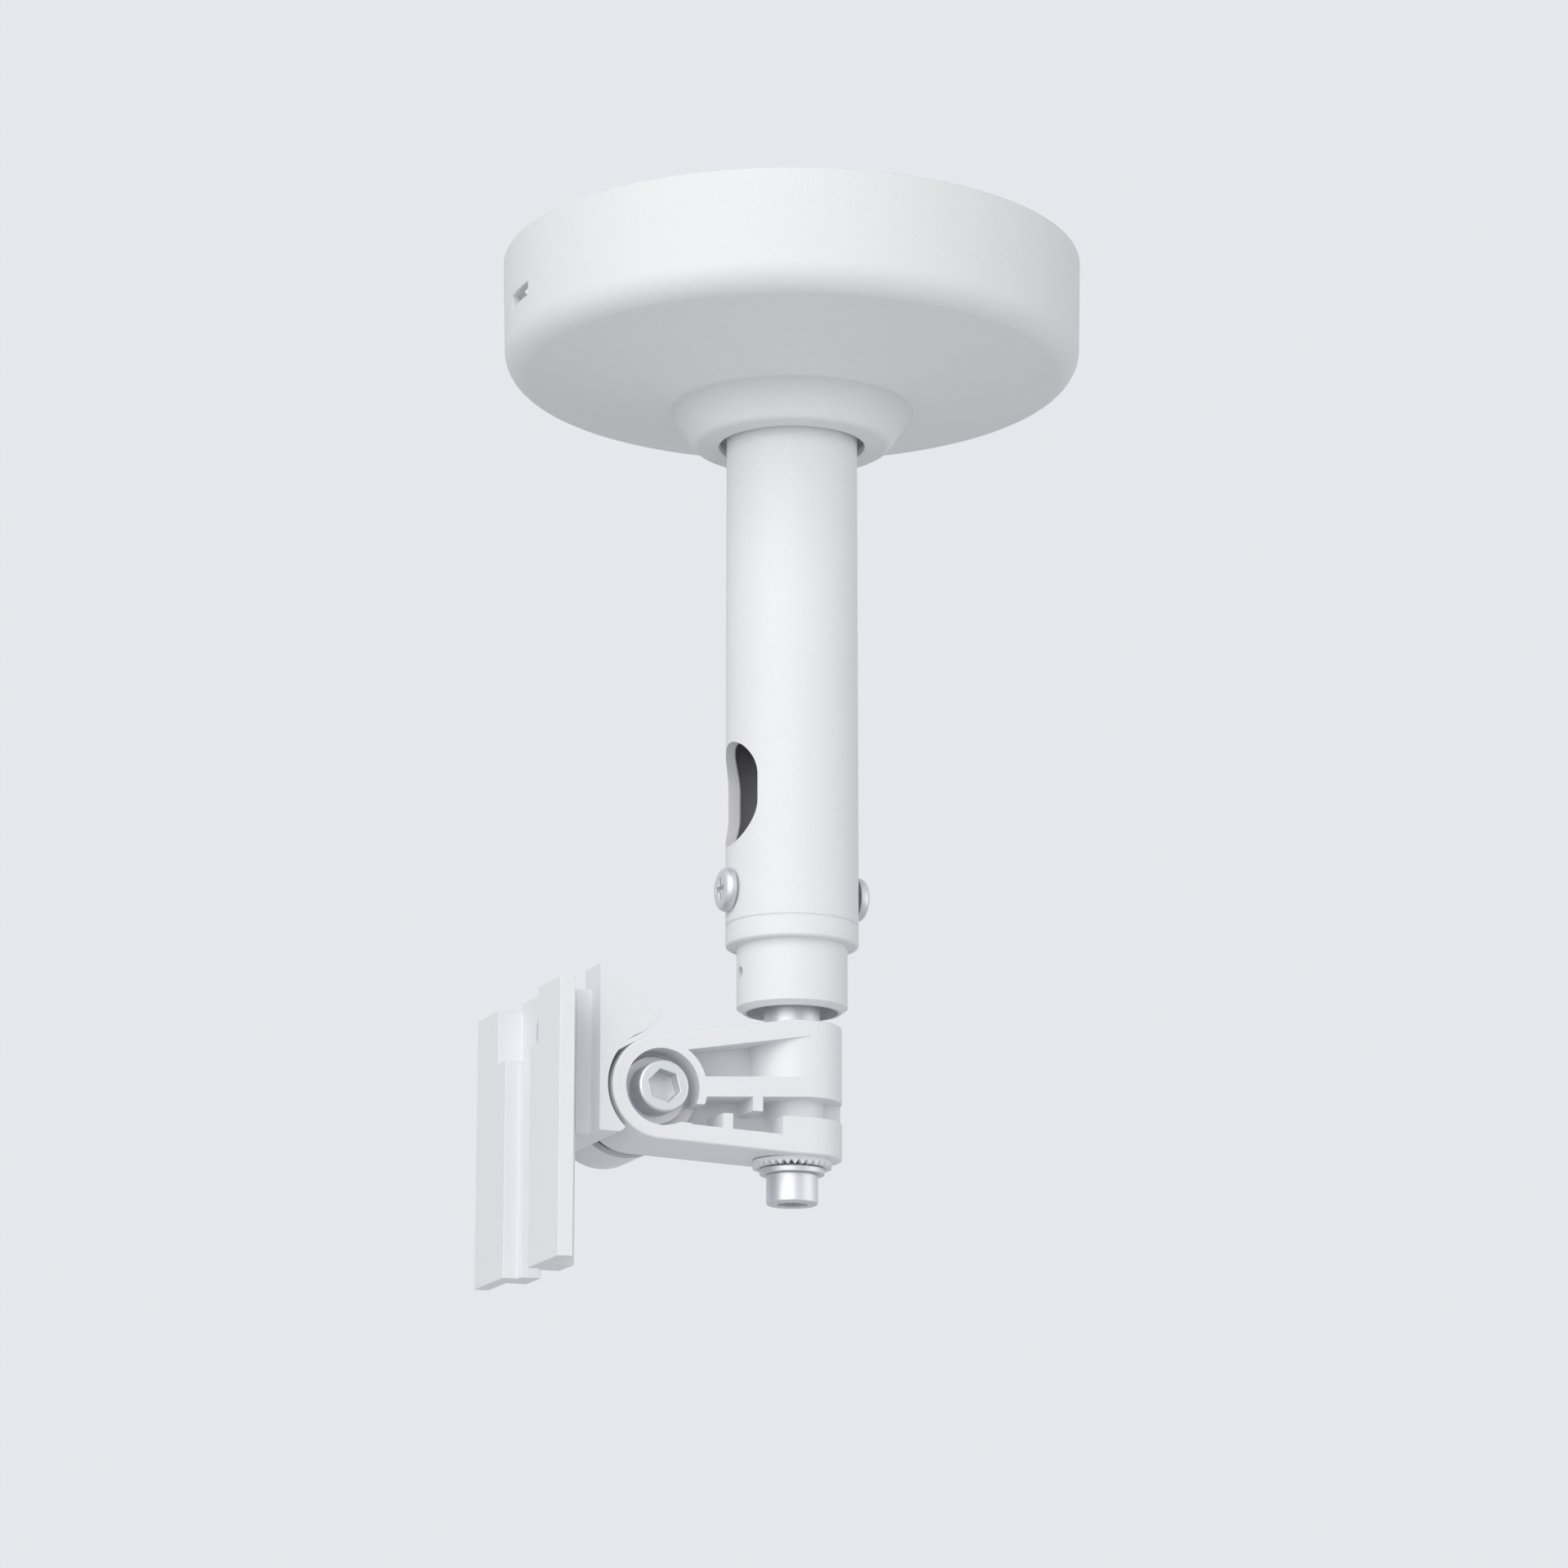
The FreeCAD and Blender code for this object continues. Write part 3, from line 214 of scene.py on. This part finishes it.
def slopeUnderside(bm):
    bm.normal_update()
    under = [face for face in bm.faces if face.normal.z < canopyFall["facing"] and all(
        canopyFall["footRadius"] < vert.co.xy.length < canopyFall["rimRadius"] for vert in face.verts)]
    bmesh.ops.delete(bm, geom=under, context="FACES")
    openEdges = [edge for edge in bm.edges if edge.is_boundary]
    creaseRadius = canopyFall["rings"][0][0]
    loops = [[edge for edge in openEdges if edge.verts[0].co.xy.length > creaseRadius]]
    for radius, level in canopyFall["rings"]:
        ring = bmesh.ops.create_circle(bm, segments=canopyFall["segments"], radius=radius,
                                       matrix=Matrix.Translation((0, 0, level)))["verts"]
        loops.append(list(dict.fromkeys(edge for vert in ring for edge in vert.link_edges)))
    loops.append([edge for edge in openEdges if edge.verts[0].co.xy.length < creaseRadius])
    for upper, lower in zip(loops, loops[1:]):
        bmesh.ops.bridge_loops(bm, edges=upper + lower)
    bmesh.ops.recalc_face_normals(bm, faces=bm.faces)


# softened edges on copies of the CAD shapes, so that corners catch light as coated metal does
edgeSettings = {"merge": 1e-6, "flatAngle": 0.4, "sharpAngle": 28.0, "segments": 2}
softEdges = {
    "canopy": 0.0003, "pendant_tube": 0.0001, "tube_plug": 0.0001, "swivel_arm": 0.0004,
    "tilt_bracket": 0.0005, "speaker_plate": 0.0005, "swivel_bolt": 0.0002, "tilt_bolt": 0.0002,
    "swivel_washer": 0.0002, "tilt_washer": 0.0002, "plug_screws": 0.0002, "swivel_pin": 0.0003,
    "ceiling_flange": 0.0003, "tilt_nut": 0.0002,
}
sharpAngles = {"canopy": 50.0}     # above the angle of the canopy's crease, which is shaded softly


def softenNode(nodeName, width):
    mesh = bpy.data.meshes.new(nodeName + "_shape")
    bm = bmesh.new()
    bm.from_mesh(frame["nodes"][nodeName].data)
    bmesh.ops.remove_doubles(bm, verts=bm.verts, dist=edgeSettings["merge"])
    if nodeName == "canopy":
        slopeUnderside(bm)
    bmesh.ops.dissolve_limit(bm, angle_limit=math.radians(edgeSettings["flatAngle"]),
                             verts=bm.verts, edges=bm.edges)
    bm.to_mesh(mesh)
    bm.free()
    mesh.shade_smooth()
    sharpAngle = math.radians(sharpAngles.get(nodeName, edgeSettings["sharpAngle"]))
    mesh.set_sharp_from_angle(angle=sharpAngle)
    piece = addObject(nodeName + "_finished", mesh)
    bevel = piece.modifiers.new("edge", "BEVEL")
    bevel.width = width
    bevel.segments = edgeSettings["segments"]
    bevel.limit_method = "ANGLE"
    bevel.angle_limit = sharpAngle
    weighted = piece.modifiers.new("flat faces", "WEIGHTED_NORMAL")
    weighted.keep_sharp = True
    mesh.materials.append(materials[nodeSlots[nodeName]])
    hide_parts(nodeName)
    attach(piece, bodyOfNode[nodeName])


for nodeName, width in softEdges.items():
    softenNode(nodeName, width)
print("softened pieces:", len(softEdges))

# studio: a pale floor well below, a pale world, a large key from the camera's left and a weak fill
studio = {"floorLevel": -0.75, "floorRadius": 1.95, "floorSegments": 96, "floorColour": (0.800, 0.806, 0.824),
          "floorRough": 0.8, "floorSeen": (0.62, 0.63, 0.66), "floorGlow": 0.75, "ambient": 0.37,
          "ambientColour": (0.98, 0.985, 1.0), "backdrop": (0.785, 0.80, 0.835)}
lamps = {
    "key": {"place": (-1.66, -1.62, 0.70), "size": 3.0, "power": 53.0},
    "fill": {"place": (1.7, -1.2, -0.2), "size": 1.8, "power": 11.0},
}
cameraSettings = {"place": (-0.4515, -1.1516, -0.4366), "aim": (-0.0019, 0.0007, -0.1383), "lens": 114.9,
                  "sensor": 36.0}


# rays that show the backdrop: those of the camera, and those mirrored by metal
def seenRays(nodes, link):
    path = nodes.new("ShaderNodeLightPath")
    direct = mathNode(nodes, "MAXIMUM")
    seen = mathNode(nodes, "MAXIMUM")
    link(path.outputs["Is Camera Ray"], direct.inputs[0])
    link(path.outputs["Is Glossy Ray"], direct.inputs[1])
    link(direct.outputs[0], seen.inputs[0])
    link(path.outputs["Is Transmission Ray"], seen.inputs[1])
    return seen.outputs[0]


# the floor is seen mostly in one pale tone and keeps a share of its own light and shadow
def makeFloorPaint():
    paint = bpy.data.materials.new("floorPaint")
    paint.use_nodes = True
    nodes = paint.node_tree.nodes
    link = paint.node_tree.links.new
    matt = nodes["Principled BSDF"]
    matt.inputs["Base Color"].default_value = opaque(studio["floorColour"])
    matt.inputs["Roughness"].default_value = studio["floorRough"]
    glow = nodes.new("ShaderNodeEmission")
    glow.inputs["Color"].default_value = opaque(studio["floorSeen"])
    share = mathNode(nodes, "MULTIPLY")
    share.inputs[1].default_value = studio["floorGlow"]
    mix = nodes.new("ShaderNodeMixShader")
    link(seenRays(nodes, link), share.inputs[0])
    link(share.outputs[0], mix.inputs["Fac"])
    link(matt.outputs[0], mix.inputs[1])
    link(glow.outputs[0], mix.inputs[2])
    link(mix.outputs[0], nodes["Material Output"].inputs["Surface"])
    return paint


def makeFloor():
    mesh = bpy.data.meshes.new("studioFloor")
    bm = bmesh.new()
    bmesh.ops.create_circle(bm, cap_ends=True, segments=studio["floorSegments"], radius=studio["floorRadius"],
                            matrix=Matrix.Translation((0, 0, studio["floorLevel"])))
    bm.to_mesh(mesh)
    bm.free()
    mesh.materials.append(makeFloorPaint())
    addObject("studioFloor", mesh)


# the world lights the object at its own strength and shows a pale backdrop to the camera and in reflections
def makeWorld():
    world = bpy.data.worlds.new("studioWorld")
    bpy.context.scene.world = world
    world.use_nodes = True
    nodes = world.node_tree.nodes
    link = world.node_tree.links.new
    light = nodes["Background"]
    light.inputs["Color"].default_value = opaque(studio["ambientColour"])
    light.inputs["Strength"].default_value = studio["ambient"]
    shown = nodes.new("ShaderNodeBackground")
    shown.inputs["Color"].default_value = opaque(studio["backdrop"])
    mix = nodes.new("ShaderNodeMixShader")
    link(seenRays(nodes, link), mix.inputs["Fac"])
    link(light.outputs[0], mix.inputs[1])
    link(shown.outputs[0], mix.inputs[2])
    link(mix.outputs[0], nodes["World Output"].inputs["Surface"])


def placeAndAim(holder, place):
    holder.location = place
    toward = Vector(cameraSettings["aim"]) - Vector(place)
    holder.rotation_euler = toward.to_track_quat("-Z", "Y").to_euler()


def makeLamp(name, settings):
    lamp = bpy.data.lights.new(name, "AREA")
    lamp.size = settings["size"]
    lamp.energy = settings["power"]
    placeAndAim(addObject(name, lamp), settings["place"])


def makeCamera():
    lens = bpy.data.cameras.new("photoCamera")
    lens.sensor_width = cameraSettings["sensor"]
    lens.sensor_fit = "HORIZONTAL"
    lens.lens = cameraSettings["lens"]
    holder = addObject("photoCamera", lens)
    placeAndAim(holder, cameraSettings["place"])
    bpy.context.scene.camera = holder


makeFloor()
makeWorld()
for lampName, lampSettings in lamps.items():
    makeLamp(lampName, lampSettings)
makeCamera()
bpy.context.scene.view_settings.view_transform = "Standard"
print("studio ready")
